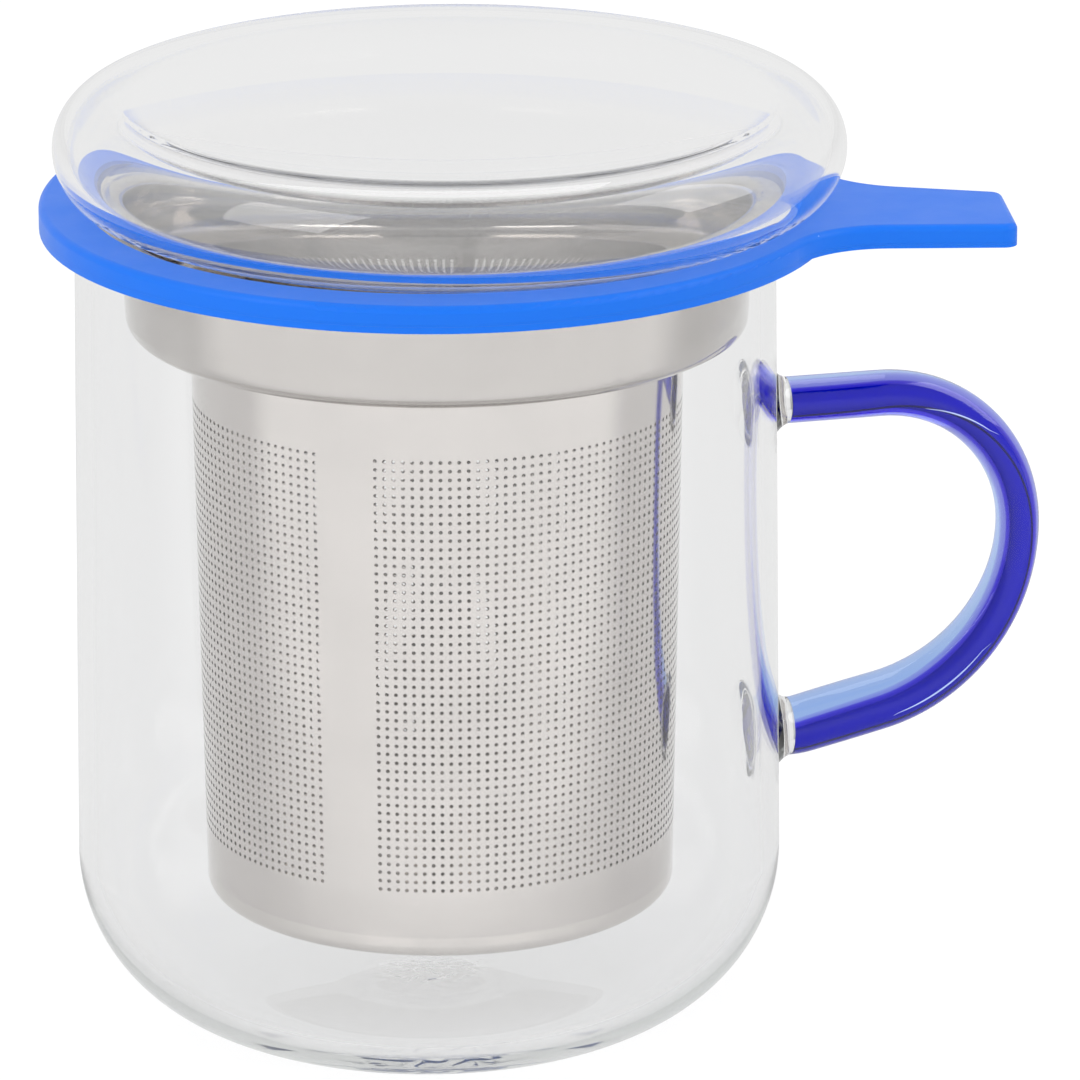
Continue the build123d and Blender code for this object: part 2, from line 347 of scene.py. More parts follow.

# %% [markdown]
# The infuser is pressed and rolled from stainless sheet. Its mill finish is
# satin: a fine grain, and faint lines that run round the turned parts. The
# collar's outside is polished after drawing. Inside the collar the steel's
# colour is darkened: painted shade for the dim inside of the collar.

# %% Stainless steel


def steel(name, colour, low, high, grain, lines):
    """Satin stainless: roughness that drifts, a fine grain and faint lines round the axis."""
    material, tree, shader, output = new_material(name)
    shader.inputs["Metallic"].default_value = 1.0
    cloudy = noise(tree, place(tree), 90.0, detail=3.0)
    tree.links.new(spread(tree, cloudy, low, high), shader.inputs["Roughness"])
    fine = noise(tree, place(tree), 2600.0, detail=2.0)
    rings = noise(tree, place(tree, (0.02, 0.02, 1)), 5200.0, detail=2.0)
    grainy = bump(tree, fine, grain)
    tree.links.new(bump(tree, rings, lines, below=grainy), shader.inputs["Normal"])
    duller = (0.94 * colour[0], 0.94 * colour[1], 0.94 * colour[2], 1)
    mixed = blend(tree, spread(tree, cloudy, 0.0, 1.0), colour, duller)
    tree.links.new(mixed, shader.inputs["Base Color"])
    return material


COLLAR_FLOOR, COLLAR_MOUTH = 0.0849, 0.0983  # heights in metres
FLOOR_MIDDLE, MOUTH_MIDDLE = 0.0362, 0.03695  # radius of the middle of its wall at each
INSIDE_FROM = 0.08515  # just over the middle of the collar's floor


def paint_shade_inside(material, keep):
    """Paints shade inside the collar: keeps this share of each colour there.

    Inside is above its floor and nearer to the infuser's axis than the middle
    of its wall, whose radius grows evenly from the floor to the mouth.
    """
    tree = material.node_tree
    axis = (INFUSER[0] * MM, INFUSER[1] * MM, 0)
    spot = vector_maths(tree, "SUBTRACT", place(tree), axis)
    axes = add_node(tree, "ShaderNodeSeparateXYZ", {"Vector": spot}).outputs
    flat = add_node(tree, "ShaderNodeCombineXYZ", {"X": axes["X"], "Y": axes["Y"]}).outputs[0]
    radius = vector_maths(tree, "LENGTH", flat)
    middle = spread(tree, axes["Z"], FLOOR_MIDDLE, MOUTH_MIDDLE, COLLAR_FLOOR, COLLAR_MOUTH)
    within = maths(tree, "LESS_THAN", radius, middle)
    above = maths(tree, "GREATER_THAN", axes["Z"], INSIDE_FROM)
    inside = maths(tree, "MULTIPLY", within, above)
    base_color = tree.nodes["Principled BSDF"].inputs["Base Color"]
    colour = base_color.links[0].from_socket
    darker = vector_maths(tree, "MULTIPLY", colour, keep)
    tree.links.new(blend(tree, inside, colour, darker), base_color)


drawn_steel = steel("drawn steel", (0.533, 0.509, 0.488, 1), 0.05, 0.08, 0.0000008, 0.0000015)
# painted shade: the steel's colour is darkened inside the collar
paint_shade_inside(drawn_steel, (0.86, 0.84, 0.82))
base_steel = steel("pressed base", (0.65, 0.622, 0.598, 1), 0.07, 0.10, 0.0000006, 0.0000006)
sheet_steel = steel("perforated sheet", (0.615, 0.587, 0.566, 1), 0.08, 0.11, 0.0000005, 0.0000005)
print("steel: roughness from 0.05 to 0.11")

# %% [markdown]
# Silicone is a soft matt rubber. Light goes a little way in, its skin is finely
# pebbled, and the mould leaves a thin parting line near the lower edge. It also
# holds a little pale lint.

# %% Blue silicone
silicone, tree, shader, output = new_material("blue silicone")
shader.inputs["IOR"].default_value = 1.43
shader.inputs["Specular IOR Level"].default_value = 0.2
shader.inputs["Sheen Weight"].default_value = 0.12
shader.inputs["Sheen Roughness"].default_value = 0.35
shader.inputs["Subsurface Weight"].default_value = 0.15
shader.inputs["Subsurface Scale"].default_value = 0.001
shader.inputs["Subsurface Radius"].default_value = (0.2, 0.4, 1.0)
PARTING_HEIGHT, PARTING_HALF = 0.0979, 0.00012
pebbled = noise(tree, place(tree), 3000.0, detail=3.0)
height = add_node(tree, "ShaderNodeSeparateXYZ", {"Vector": place(tree)}).outputs["Z"]
parting = maths(tree, "COMPARE", height, PARTING_HEIGHT, PARTING_HALF)
skin = bump(tree, pebbled, 0.000006)
tree.links.new(bump(tree, parting, 0.00006, below=skin), shader.inputs["Normal"])
cloudy = noise(tree, place(tree), 160.0, detail=3.0)
tree.links.new(spread(tree, cloudy, 0.38, 0.48), shader.inputs["Roughness"])
flecks = add_node(tree, "ShaderNodeTexVoronoi", {"Vector": place(tree), "Scale": 260.0}).outputs
lint = spread(tree, flecks["Distance"], 1.0, 0.0, 0.018, 0.03)
some = spread(tree, flecks["Color"], 0.0, 1.0, 0.62, 0.64)
dust = maths(tree, "MULTIPLY", lint, some)
dusty = blend(tree, dust, (0.006, 0.130, 0.62, 1), (0.35, 0.5, 0.9, 1))
tree.links.new(dusty, shader.inputs["Base Color"])
print("silicone: parting line at", 1000 * PARTING_HEIGHT, "mm")

# %% [markdown]
# ## The cup and its weld beads
#
# The cup is one turned wall: foot, round, side, rim, and back down the inside.
# The beads are fused to it, with no joint that light could find. So they aren't
# laid on the wall as separate pieces: a square window is left out of the wall's
# grid at each bead, and a patch runs from the window's edge in to the round end
# of the rod, rising as a flare. Cup and beads are then one closed skin.
#
# Under the foot the blower's iron left a shallow scar, and inside the floor a
# low crown stands over it, wrinkled where the glass was cracked off: the pontil
# mark. Smooth shading spreads a bend over the faces beside it, so each straight
# face has one guard row close to where a round begins.

# %% The cup's profile
CUP_COLUMNS, ROUND_POINTS, RIM_POINTS = 256, 61, 25
CUP_HEIGHT, RIM_RADIUS, BELLY_RADIUS = 96.7, 41.0, 42.0
WALL, FLOOR, BOTTOM_ROUND = 2.0, 3.0, 20.0
SCAR_RADIUS, SCAR_DEPTH = 9.0, 0.45
CROWN_RADIUS, CROWN_HEIGHT = 12.0, 0.8


def swell(radius, reach, height):
    """A soft mound: height x (1 - (radius / reach)^2)^2, and flat beyond its reach."""
    return height * np.clip(1 - (np.asarray(radius) / reach) ** 2, 0, None) ** 2


def wall_radius(height):
    """Outside radius of the straight side at this height."""
    return BELLY_RADIUS + (RIM_RADIUS - BELLY_RADIUS) * (height - BOTTOM_ROUND) / (
        CUP_HEIGHT - BOTTOM_ROUND
    )


# centre height, half window, rod radius and flare of each bead
BEADS = {"lower": (30.42, 9, 3.5, 2.6), "upper": (71.7, 8, 2.8, 2.6)}
BEAD_LENGTH = 2.7
rim_half = WALL / 2
rim_low = CUP_HEIGHT - rim_half
side_heights = [BOTTOM_ROUND, BOTTOM_ROUND + GUARD]
for middle, half, _, _ in BEADS.values():
    side_heights += list(np.linspace(middle - half, middle + half, 2 * half + 1))
side_heights += [rim_low - GUARD, rim_low]
side = [(wall_radius(z), z) for z in side_heights]
rim_centre = wall_radius(rim_low) - rim_half
foot_edge = BELLY_RADIUS - BOTTOM_ROUND
fine_radii = np.linspace(0.3, SCAR_RADIUS, 30)
scar_radii = np.array([0, *fine_radii, CROWN_RADIUS])
scar = np.stack([scar_radii, swell(scar_radii, SCAR_RADIUS, SCAR_DEPTH)], -1)
foot = [*scar, (foot_edge - GUARD, 0.0), (foot_edge, 0.0)]
round_out = arc((foot_edge, BOTTOM_ROUND), BOTTOM_ROUND, -90, 0, ROUND_POINTS)[1:-1]
rim = arc((rim_centre, rim_low), rim_half, 0, 180, RIM_POINTS)[1:-1]
inner_round = BOTTOM_ROUND - FLOOR
inner_heights = (rim_low, rim_low - GUARD, BOTTOM_ROUND + GUARD, BOTTOM_ROUND)
inner_wall = [(wall_radius(z) - WALL, z) for z in inner_heights]
inner_edge = BELLY_RADIUS - WALL - inner_round
round_in = arc((inner_edge, BOTTOM_ROUND), inner_round, 0, -90, ROUND_POINTS)[1:]
coarse_radii = np.linspace(inner_edge, SCAR_RADIUS, 10)[1:]
crown_radii = np.array([inner_edge - GUARD, *coarse_radii, *fine_radii[-2::-1], 0])
crown = np.stack([crown_radii, FLOOR + swell(crown_radii, CROWN_RADIUS, CROWN_HEIGHT)], -1)
cup_profile = [*foot, *round_out, *side, *rim, *inner_wall, *round_in, *crown]
print("cup profile:", len(cup_profile), "stations")

# %% Patches for the beads
SLIDE_STEPS, RISE_STEPS = 5, 14
FLARE_POWER = 1.42  # 2 would be a quarter circle, 1 a plain cone
HAND_WOBBLE = 0.035  # share of its radius by which a brim wanders


def bead_patch(grid, rows, bead, numbers, first):
    """The skin of one bead, from the wall's window in to the rod's end.

    A spoke runs from each point of the window to the rod's axis. Along it the
    point first slides over the wall to the flare's brim, then rises by
    1 - (1 - q^p)^(1/p), where q goes from 0 at the brim to 1 at the rod.
    """
    middle, half, rod, flare = bead
    low = int(np.argmin(np.abs(rows - (middle - half))))
    high = low + 2 * half
    across = np.arange(-half, half + 1) % CUP_COLUMNS
    edge = np.concatenate(
        [
            numbers[low, across[:-1]],
            numbers[low:high, across[-1]],
            numbers[high, across[:0:-1]],
            numbers[high:low:-1, across[0]],
        ]
    )
    y, z = grid.reshape(-1, 3)[edge, 1], grid.reshape(-1, 3)[edge, 2] - middle
    angle, reach = np.arctan2(z, y), np.hypot(y, z)
    brim = (rod + flare) * (1 + HAND_WOBBLE * np.sin(3 * angle + middle))
    slide = np.linspace(0, 1, SLIDE_STEPS + 1)[1:, None]
    rise = np.linspace(0, 1, RISE_STEPS + 1)[1:, None]
    radius = np.concatenate([reach + (brim - reach) * slide, brim + (rod - brim) * rise])
    py, pz = radius * np.cos(angle), middle + radius * np.sin(angle)
    q = np.concatenate([0 * slide, rise]) * np.ones_like(angle)
    lift = 1 - (1 - q**FLARE_POWER) ** (1 / FLARE_POWER)
    wall = np.sqrt(wall_radius(pz) ** 2 - py**2)
    end = wall_radius(middle) + BEAD_LENGTH
    px = wall + (end - wall) * lift
    rings, spokes = radius.shape
    points = np.concatenate([np.stack([px, py, pz], -1).reshape(-1, 3), [(end, 0, middle)]])
    table = np.concatenate([edge[None], first + np.arange(rings * spokes).reshape(rings, spokes)])
    around = np.roll(table, -1, axis=1)
    quads = np.stack([table[:-1], around[:-1], around[1:], table[1:]], -1).reshape(-1, 4)
    hub = np.full(spokes, first + rings * spokes)
    fan = np.stack([table[-1], around[-1], hub], -1)
    return points, quads, fan, (low, high, half)


# %% The cup's skin
MARK_DEPTH, MARK_SPREAD, MARK_TOP = 0.07, 30.0, 5.0
INNER_ROW = -9.0  # stands for the height of an inner row, where no window may lie


def pontil_mark(x, y, z):
    """How far the floor is lifted at x, y: crossed waves with bent crests, under a bell.

    The waves are sin(1.5x + 1.4 sin 1.1y) times sin(1.7y + 1.2 sin 1.3x + 0.7), plus 1.
    The bell is e to the minus ((x^2 + y^2) / spread)^2. Above MARK_TOP nothing is lifted.
    """
    waves = np.sin(1.5 * x + 1.4 * np.sin(1.1 * y)) * np.sin(1.7 * y + 1.2 * np.sin(1.3 * x) + 0.7)
    bell = np.exp(-((x**2 + y**2) / MARK_SPREAD) ** 2) * (z < MARK_TOP)
    return MARK_DEPTH * bell * (1 + waves)


profile = np.array(cup_profile, float)
body_rows = profile[1:-1]
cup_grid = turned(body_rows, CUP_COLUMNS)
row_count = len(body_rows)
cup_grid[..., 2] += pontil_mark(*np.moveaxis(cup_grid, -1, 0))
numbers = np.arange(row_count * CUP_COLUMNS).reshape(row_count, CUP_COLUMNS)
outer_rows = len(foot) + len(round_out) + len(side) - 1
outside = np.where(np.arange(row_count) < outer_rows, body_rows[:, 1], INNER_ROW)
cup_quads = quads_between(row_count, CUP_COLUMNS)
keep = np.ones(cup_quads.shape[:2], bool)
parts, quads, fans = [cup_grid.reshape(-1, 3)], [], []
count = row_count * CUP_COLUMNS
for bead in BEADS.values():
    points, patch, fan, (low, high, half) = bead_patch(cup_grid, outside, bead, numbers, count)
    keep[low:high, np.arange(-half, half) % CUP_COLUMNS] = False
    parts.append(points)
    quads.append(patch)
    fans.append(fan)
    count += len(points)
j = np.arange(CUP_COLUMNS)
k = (j + 1) % CUP_COLUMNS
top = (row_count - 1) * CUP_COLUMNS
poles = [
    np.stack([np.full(CUP_COLUMNS, count), k, j], -1),
    np.stack([np.full(CUP_COLUMNS, count + 1), top + j, top + k], -1),
]
parts.append([(0, 0, profile[0][1]), (0, 0, profile[-1][1])])
seam_faces = sum(len(f) for f in fans)
cup = make_object(
    "cup",
    np.concatenate(parts),
    np.concatenate([cup_quads[keep], *quads]),
    np.concatenate([*poles, *fans]),
)
cup.data.materials.append(cup_glass)
cup.data.materials.append(seam_glass)
slots = np.zeros(len(cup.data.polygons), int)
slots[-seam_faces:] = 1
cup.data.polygons.foreach_set("material_index", slots)
cup.data.set_sharp_from_angle(angle=CRISP)
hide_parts("mug_body", "upper_weld_bead", "lower_weld_bead")
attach(cup, "mug")

# %% [markdown]
# ## The handle
#
# One glass rod, heated and drawn round two bends by hand, with a last small one
# that brings it level to the cup. It is a circle carried along a line in the
# upright plane through the cup's axis. The circle grows towards the lower root,
# where the glass ran down while it was soft.

# %% The rod's centre line
TOP, SIDE, UPPER_BEND, LOWER_BEND = 71.7, 73.16, 17.5, 22.0
TILT, ROOT_BEND = math.radians(11.3), 9.0


def bend(centre, radius, start, end, step=1.0):
    """Points on a circle in the upright plane, from one angle to another, a step apart."""
    count = max(3, int(abs(end - start) * radius / step))
    angle = np.linspace(start, end, count + 1)[1:]
    return np.stack([centre[0] + radius * np.cos(angle), centre[1] + radius * np.sin(angle)], -1)


def run(start, end, step=1.0):
    """Points on a straight run, a step apart, without its first."""
    start, end = np.array(start), np.array(end)
    count = max(2, int(np.linalg.norm(end - start) / step))
    return start + (end - start) * np.linspace(0, 1, count + 1)[1:, None]


upper_root = np.array([wall_radius(TOP) + BEAD_LENGTH, TOP])
lower_root = np.array([wall_radius(BEADS["lower"][0]) + BEAD_LENGTH, BEADS["lower"][0]])
upper_centre = (SIDE - UPPER_BEND, TOP - UPPER_BEND)
lower_centre = (SIDE - LOWER_BEND, TOP - UPPER_BEND)
root_centre = (lower_root[0], lower_root[1] + ROOT_BEND)
arm = root_centre + ROOT_BEND * np.array([math.sin(TILT), -math.cos(TILT)])
half_turn = math.pi / 2
pieces = [
    [upper_root],
    run(upper_root, (upper_centre[0], TOP)),
    bend(upper_centre, UPPER_BEND, half_turn, 0),
    bend(lower_centre, LOWER_BEND, 0, TILT - half_turn),
    run(lower_centre + LOWER_BEND * np.array([math.sin(TILT), -math.cos(TILT)]), arm),
    bend(root_centre, ROOT_BEND, TILT - half_turn, -half_turn, 0.4),
]
line = np.concatenate(pieces)
print("rod length, mm:", round(float(np.linalg.norm(np.diff(line, axis=0), axis=1).sum()), 1))

# %% The rod's thickness along the line
ROD_SIDES = 64
EASE = 7  # rows on each side over which a change is evened out
stations = [0, *(np.cumsum([len(p) for p in pieces])[[1, 2, 3, 5]] - 1)]


def along(values):
    """Values at the rod's five stations, eased between them.

    The stations are both ends of the rod, both ends of its upper bend and the
    end of its lower bend.
    """
    straight = np.interp(np.arange(len(line)), stations, values)
    even = np.ones(2 * EASE + 1) / (2 * EASE + 1)
    return np.convolve(np.pad(straight, EASE, mode="edge"), even, mode="valid")


diameters = along([5.6, 5.6, 5.1, 7.3, 7.0])
tangent = np.gradient(line, axis=0)
tangent[0], tangent[-1] = (1, 0), (-1, 0)
tangent /= np.linalg.norm(tangent, axis=1, keepdims=True)
normal = np.stack([-tangent[:, 1], tangent[:, 0]], -1)
print("rod diameters, mm:", diameters.min().round(2), "to", diameters.max().round(2))

# %% [markdown]
# The inner glasses are set off the middle, which paints light and shade into
# the rod. Along the upper arm they lie low, then they cross to the outer side
# of the bend and stay there down the lower arm. So the pale sleeve shows as a
# band along the rod's upper and inner edge: painted light on that edge.
#
# Each glass is a round bar of its own inside the rod. Its place across the rod
# is a share of the rod's radius along the line's normal, which points up on the
# upper arm, outwards at the bend and down on the lower arm.

# %% Sleeve, mantle, core, heart and painted dark line
STEP_BACK = 0.35  # the inner glasses start this far from the welds


def swept(name, share, across, towards, finish, part=slice(None)):
    """A round bar in the rod: a circle of share x the rod's radius, closed at both ends.

    Its middle lies across x radius off the line in the upright plane and
    towards x radius out of it. A point at angle t is the middle + r cos t along
    the line's normal and + r sin t out of the plane.
    """
    turn = np.linspace(0, 2 * np.pi, ROD_SIDES, endpoint=False)
    radius = diameters[part] / 2
    square = normal[part]
    centre = line[part] + (across * radius)[:, None] * square
    if name != "handle_sleeve":
        centre[0, 0] += STEP_BACK
        centre[-1, 0] += STEP_BACK
    side = -towards * radius
    own = (share * radius)[:, None]
    out = own * np.cos(turn)
    points = np.stack(
        [
            centre[:, :1] + square[:, :1] * out,
            side[:, None] - own * np.sin(turn),
            centre[:, 1:] + square[:, 1:] * out,
        ],
        -1,
    )
    rows = len(centre)
    j = np.arange(ROD_SIDES)
    k = (j + 1) % ROD_SIDES
    last, hub = (rows - 1) * ROD_SIDES, rows * ROD_SIDES
    caps = [
        np.stack([np.full(ROD_SIDES, hub), k, j], -1),
        np.stack([np.full(ROD_SIDES, hub + 1), last + j, last + k], -1),
    ]
    hubs = [(centre[i, 0], side[i], centre[i, 1]) for i in (0, -1)]
    made = make_object(
        name,
        np.concatenate([points.reshape(-1, 3), hubs]),
        quads_between(rows, ROD_SIDES).reshape(-1, 4),
        np.concatenate(caps),
    )
    made.data.materials.append(finish)
    made.data.set_sharp_from_angle(angle=CRISP)
    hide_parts("handle")
    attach(made, "mug")


# painted light and shade: the inner glasses sit off the middle, so one edge of the rod is paler
core_shift = along([-0.16, -0.14, 0.13, 0.43, 0.45])
mantle_shift = along([-0.14, -0.12, 0.13, 0.40, 0.42])
mantle_share = along([0.66, 0.66, 0.65, 0.52, 0.50])
dark_line_shift = along([-0.50, -0.46, 0.50, 0.56, 0.58])
plain = np.ones(len(line))
swept("handle_sleeve", plain, 0 * plain, 0.0, sleeve_glass)
swept("handle_mantle", mantle_share, mantle_shift, 0.0, mantle_glass)
swept("handle_core", 0.46 * plain, core_shift, 0.0, core_glass)
swept("handle_heart", 0.34 * plain, core_shift, 0.0, heart_glass)
# painted dark reflection: a thin dark opaque bar along the rod
swept("handle_dark_line", 0.045 * plain, dark_line_shift, 0.62, painted_dark_line_glass)

# %% Two bubbles, drawn out long and thin, with painted glints
# where each starts and ends, counted in bends from the start of the upper one,
# and how far across the rod it lies there, in radii
BUBBLES = {"upper": (0.22, 0.62, -0.34, 0.26), "lower": (1.50, 2.0, 0.30, 0.34)}
for name, (start, end, low, high) in BUBBLES.items():
    first, last = (int(np.interp(v, [0, 1, 2], stations[1:4])) for v in (start, end))
    u = np.linspace(0, 1, last - first)
    slim = 0.004 + 0.026 * np.sin(np.pi * u)
    # painted glint: each air line is a pale opaque bar for the light it would catch
    swept(f"handle_bubble_glint_{name}", slim, low + (high - low) * u, 0.66, bubble_glint_glass, slice(first, last))


# %% [markdown]
# ## The perforated tube
#
# A thin sheet punched with thousands of holes, about half a millimetre wide and
# a millimetre apart, then rolled and joined along two plain strips. A bump
# can't do this: light has to come through the holes. So each hole is cut in its
# own square cell. Four corners and eight points round the hole make twelve
# triangles' worth of faces on each side of the sheet, and eight small walls
# join the two sides. The tube comes in two halves, which meet in the middle of
# the plain strips, where the real one is welded.

# %% The grid of cells
TUBE_LOW, TUBE_HIGH = 18.1, 85.3  # heights of the sheet's edges
TUBE_BOTTOM, TUBE_TOP, NECK = 27.9, 29.0, 84.9  # radii at TUBE_LOW and at the neck's height
CELLS_ROUND, CELL_ROWS, PITCH, FIRST_ROW = 170, 51, 1.05, 24.1
SHEET, HOLE = 0.4, 0.245
STRIP_AT, STRIP_CELLS, SEAM_CELLS = -124.8, 6, 2
FRONT_CELLS = 92


def tube_radius(height):
    """Outside radius of the tube, a slight cone."""
    share = (height - TUBE_LOW) / (NECK - TUBE_LOW)
    return TUBE_BOTTOM + (TUBE_TOP - TUBE_BOTTOM) * share


def tube_point(turns, height, inset):
    """The point at this many cells round the tube, at this height, this far into the sheet."""
    angle = np.radians(STRIP_AT) + turns * 2 * np.pi / CELLS_ROUND
    radius = tube_radius(height) - inset
    x = INFUSER[0] + radius * np.cos(angle)
    y = INFUSER[1] + radius * np.sin(angle)
    return np.stack(np.broadcast_arrays(x, y, height), -1)


def tube_half(name, start, cells):
    """One rolled half of the tube, closed all round its edges.

    Row heights run from the bottom margin over the hole rows to the top margin.
    A cell with a hole has its eight rim points at PITCH units from its middle,
    on a circle of radius HOLE, on both faces of the sheet.
    """
    heights = FIRST_ROW - PITCH / 2 + PITCH * np.arange(CELL_ROWS + 1)
    heights = np.concatenate([[TUBE_LOW], heights, [TUBE_HIGH]])
    turns = start + np.arange(cells + 1)
    tall, wide = len(heights), cells + 1
    corner = np.concatenate(
        [
            tube_point(turns[None, :], heights[:, None], inset).reshape(-1, 3)
            for inset in (0, SHEET)
        ]
    )
    outer = np.arange(tall * wide).reshape(tall, wide)
    inner = outer + tall * wide
    margin = STRIP_CELLS // 2 if start == 0 else SEAM_CELLS // 2
    other = SEAM_CELLS // 2 if start == 0 else STRIP_CELLS // 2
    holed = np.zeros((tall - 1, cells), bool)
    holed[1:-1, margin : cells - other] = True
    i, j = np.nonzero(holed)
    angle = np.radians(22.5 + 45 * np.arange(8))
    middle = (heights[i] + heights[i + 1]) / 2
    cell_width = 2 * np.pi * tube_radius(middle) / CELLS_ROUND
    rim_turns = turns[j][:, None] + 0.5 + HOLE * np.cos(angle) / cell_width[:, None]
    rim_heights = middle[:, None] + HOLE * np.sin(angle)
    rims = [tube_point(rim_turns, rim_heights, inset).reshape(-1, 3) for inset in (0, SHEET)]
    first = len(corner)
    ring_out = first + np.arange(len(i) * 8).reshape(-1, 8)
    ring_in = ring_out + len(i) * 8

    def face(ring, sheet_side, flip):
        """Four wedges and four corner triangles round each hole."""
        a, b = sheet_side[i, j], sheet_side[i, j + 1]
        c, d = sheet_side[i + 1, j + 1], sheet_side[i + 1, j]
        wedges = [
            (b, c, ring[:, 0], ring[:, 7]),
            (c, d, ring[:, 2], ring[:, 1]),
            (d, a, ring[:, 4], ring[:, 3]),
            (a, b, ring[:, 6], ring[:, 5]),
        ]
        tips = [
            (c, ring[:, 1], ring[:, 0]),
            (d, ring[:, 3], ring[:, 2]),
            (a, ring[:, 5], ring[:, 4]),
            (b, ring[:, 7], ring[:, 6]),
        ]
        quads = np.concatenate([np.stack(w, -1) for w in wedges])
        triangles = np.concatenate([np.stack(t, -1) for t in tips])
        return (quads[:, ::-1], triangles[:, ::-1]) if flip else (quads, triangles)

    quads_out, tips_out = face(ring_out, outer, False)
    quads_in, tips_in = face(ring_in, inner, True)
    after = np.roll(np.arange(8), -1)
    walls = np.stack([ring_out[:, after], ring_out, ring_in, ring_in[:, after]], -1)
    plain_out = quads_between(tall, wide, 0, wrap=False)[~holed]
    plain_in = quads_between(tall, wide, tall * wide, wrap=False)[~holed][:, ::-1]

    def edge(outer_line, inner_line):
        """A strip of faces that closes one cut edge of the sheet."""
        corners = [outer_line[:-1], inner_line[:-1], inner_line[1:], outer_line[1:]]
        return np.stack(corners, -1)

    edges = [
        edge(outer[:, 0], inner[:, 0])[:, ::-1],
        edge(outer[:, -1], inner[:, -1]),
        edge(outer[0], inner[0]),
        edge(outer[-1], inner[-1])[:, ::-1],
    ]
    quads = [quads_out, quads_in, walls.reshape(-1, 4), plain_out, plain_in, *edges]
    made = make_object(
        name, np.concatenate([corner, *rims]), np.concatenate(quads), np.concatenate([tips_out, tips_in])
    )
    made.data.set_sharp_from_angle(angle=CRISP)
    print(f"{name}: {len(i)} holes")
    return made


# %% Roll the two halves
halves = [
    tube_half("filter_sheet_front", 0, FRONT_CELLS),
    tube_half("filter_sheet_back", FRONT_CELLS, CELLS_ROUND - FRONT_CELLS),
]
for half in halves:
    half.data.materials.append(sheet_steel)
    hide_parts("filter_tube")
    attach(half, "infuser")

# %% [markdown]
# ## The hollow lid
#
# The lid is a closed bubble: glass outside, air inside. Its skin is two shells
# of revolution, one for the outside and one for the hollow, 1.9 mm apart. The
# inner one runs the other way, so that its faces point into the air and light
# knows which side the glass is on. The outer skin carries the dish attribute,
# which says where the dish ends and the clear rim begins.

# %% The lid
LID_RADIUS, LID_WALL, DISH_SLOPE = 46.3, 1.9, 17.0
LID_FOOT, LID_TOP = 100.13, 112.7
DISH_MARGIN, DISH_FADE = 6.0, 4.0  # clear rim round the mirror, and the fade inside it
DISH_OVER_FOOT = 3.0  # the skin below this height over the foot is no part of the dish
LID_COLUMNS, FLAT_POINTS, EDGE_POINTS, BOWL_POINTS = 256, 12, 120, 50


def lid_profile(inset):
    """Half section of the lid, moved in by some glass: flat foot, round rim, dished top."""
    full = (LID_TOP - LID_FOOT) / 2
    middle = (LID_RADIUS - full, LID_FOOT + full)
    slope = math.radians(DISH_SLOPE)
    dish = (middle[0] - full * math.sin(slope)) / math.sin(slope)
    hub = middle[1] + full * math.cos(slope) + dish * math.cos(slope)
    flat_radii = (*np.linspace(0, middle[0], FLAT_POINTS)[:-1], middle[0] - GUARD)
    flat = [(r, LID_FOOT + inset) for r in flat_radii]
    rim = arc(middle, full - inset, -90, 90 + DISH_SLOPE, EDGE_POINTS)
    fall = np.radians(DISH_SLOPE * (1 - np.linspace(0, 1, BOWL_POINTS)[1:]))
    radius = dish + inset
    bowl = np.stack([radius * np.sin(fall), hub - radius * np.cos(fall)], -1)
    return np.concatenate([flat, rim, bowl])


lid = turned_solid("lid", [lid_profile(0), lid_profile(LID_WALL)[::-1]], LID_COLUMNS, LID)
lid.data.materials.append(lid_glass)
spots = np.empty(3 * len(lid.data.vertices))
lid.data.vertices.foreach_get("co", spots)
spots = spots.reshape(-1, 3) / MM
from_axis = np.hypot(spots[:, 0] - LID[0], spots[:, 1] - LID[1])
share = np.clip((LID_RADIUS - DISH_MARGIN - from_axis) / DISH_FADE, 0, 1)
share = share * share * (3 - 2 * share)  # eased at both ends
upper_skin = (np.arange(len(spots)) < len(spots) // 2) & (spots[:, 2] > LID_FOOT + DISH_OVER_FOOT)
in_dish = lid.data.attributes.new("dish", "FLOAT", "POINT")
in_dish.data.foreach_set("value", np.where(upper_skin, share, 0.0))
print("lid: dish from", round(float(share.min()), 2), "to", round(float(share.max()), 2))
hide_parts("glass_lid")
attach(lid, "lid")

# %% [markdown]
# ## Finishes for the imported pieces
#
# The collar, the base and the silicone ring have the right shape already, so
# they stay and only take their finish.

# %% Assign finishes
for node, finish in {
    "infuser_collar": drawn_steel,
    "filter_base": base_steel,
    "silicone_ring": silicone,
}.items():
    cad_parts[node].data.materials.clear()
    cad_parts[node].data.materials.append(finish)

# %% [markdown]
# ## Floor, light and camera
#
# Glass shows what is round it, so the studio is mostly white paper: a white
# floor, a white surround and a few soft boxes. The camera sees the paper as
# plain white. Glass and metal see it a little greyer, which draws their edges.
#
# The steel inside the collar needs more to mirror than paper: the dark end of
# the room that the camera stands in, and two bright panels beside it. Both are
# kept for light that has been deep inside the object. The panels take light
# that has crossed the lid and met the steel. The dark end takes that too, and
# any light that has been mirrored twice. The cup's outline, the handle and the
# lid's dish see plain paper.

# %% The white surround
FRONT, ACROSS = (-0.225, -0.974, 0.0), (0.974, -0.225, 0.0)  # towards the camera, and level across
WALL_GREY, CEILING_GREY = (0.84, 0.84, 0.84, 1), (0.50, 0.50, 0.51, 1)
BEHIND_CAMERA, PANEL_WHITE = (0.16, 0.16, 0.165, 1), (4.5, 4.5, 4.5, 1)
PANELS = ((-0.725, -0.545, 0.423), (0.411, -0.807, 0.423))  # the directions of their middles
